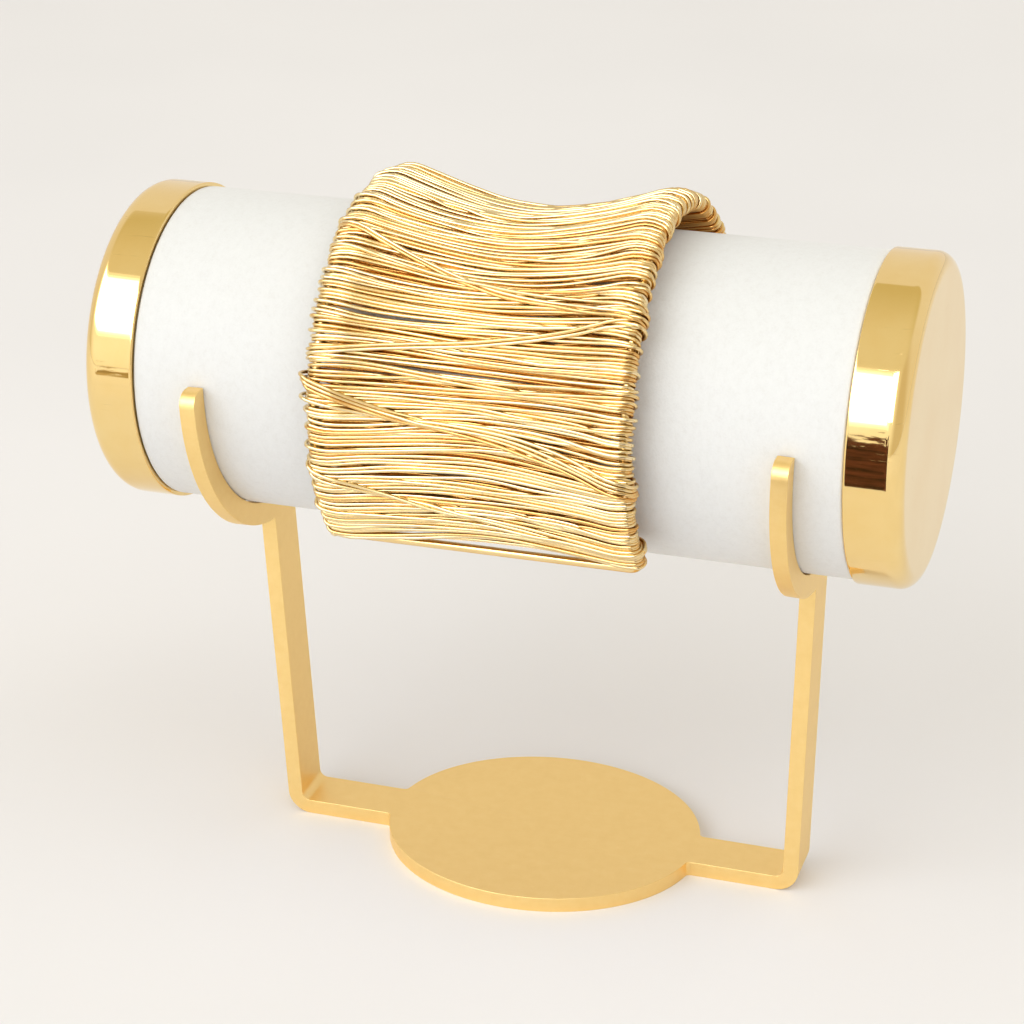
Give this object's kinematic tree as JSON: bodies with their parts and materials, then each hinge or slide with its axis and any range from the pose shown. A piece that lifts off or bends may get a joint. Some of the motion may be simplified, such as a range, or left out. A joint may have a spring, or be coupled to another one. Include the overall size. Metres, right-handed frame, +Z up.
{
  "type": "wire-wound cuff bracelet on a bracelet display stand",
  "caption": "Open cuff bracelet wound from fine gold-coloured wire over a rod frame, shown on a velvet display roll held by a flat-strip metal stand.",
  "frame": {"origin": "middle of the stand's underside, on the surface that it stands on", "axes": "+X along the display roll to the right, +Y away from the viewer, +Z up"},
  "size_m": [0.1517, 0.0738, 0.1363],
  "materials": {
    "cuff_wire": "bright drawn wire, light gold",
    "cuff_rod": "smooth polished rod, light gold",
    "velvet": "short off-white velvet nap",
    "polished_cap": "mirror polished gold with fine hairline scratches",
    "satin_stand": "satin brushed gold"
  },
  "bodies": {
    "root": {"cuff_frame_rod": "cuff_rod", "wire_winding": "cuff_wire", "display_roll": "velvet", "left_end_cap": "polished_cap", "right_end_cap": "polished_cap", "stand_frame": "satin_stand"}
  },
  "joints": []
}
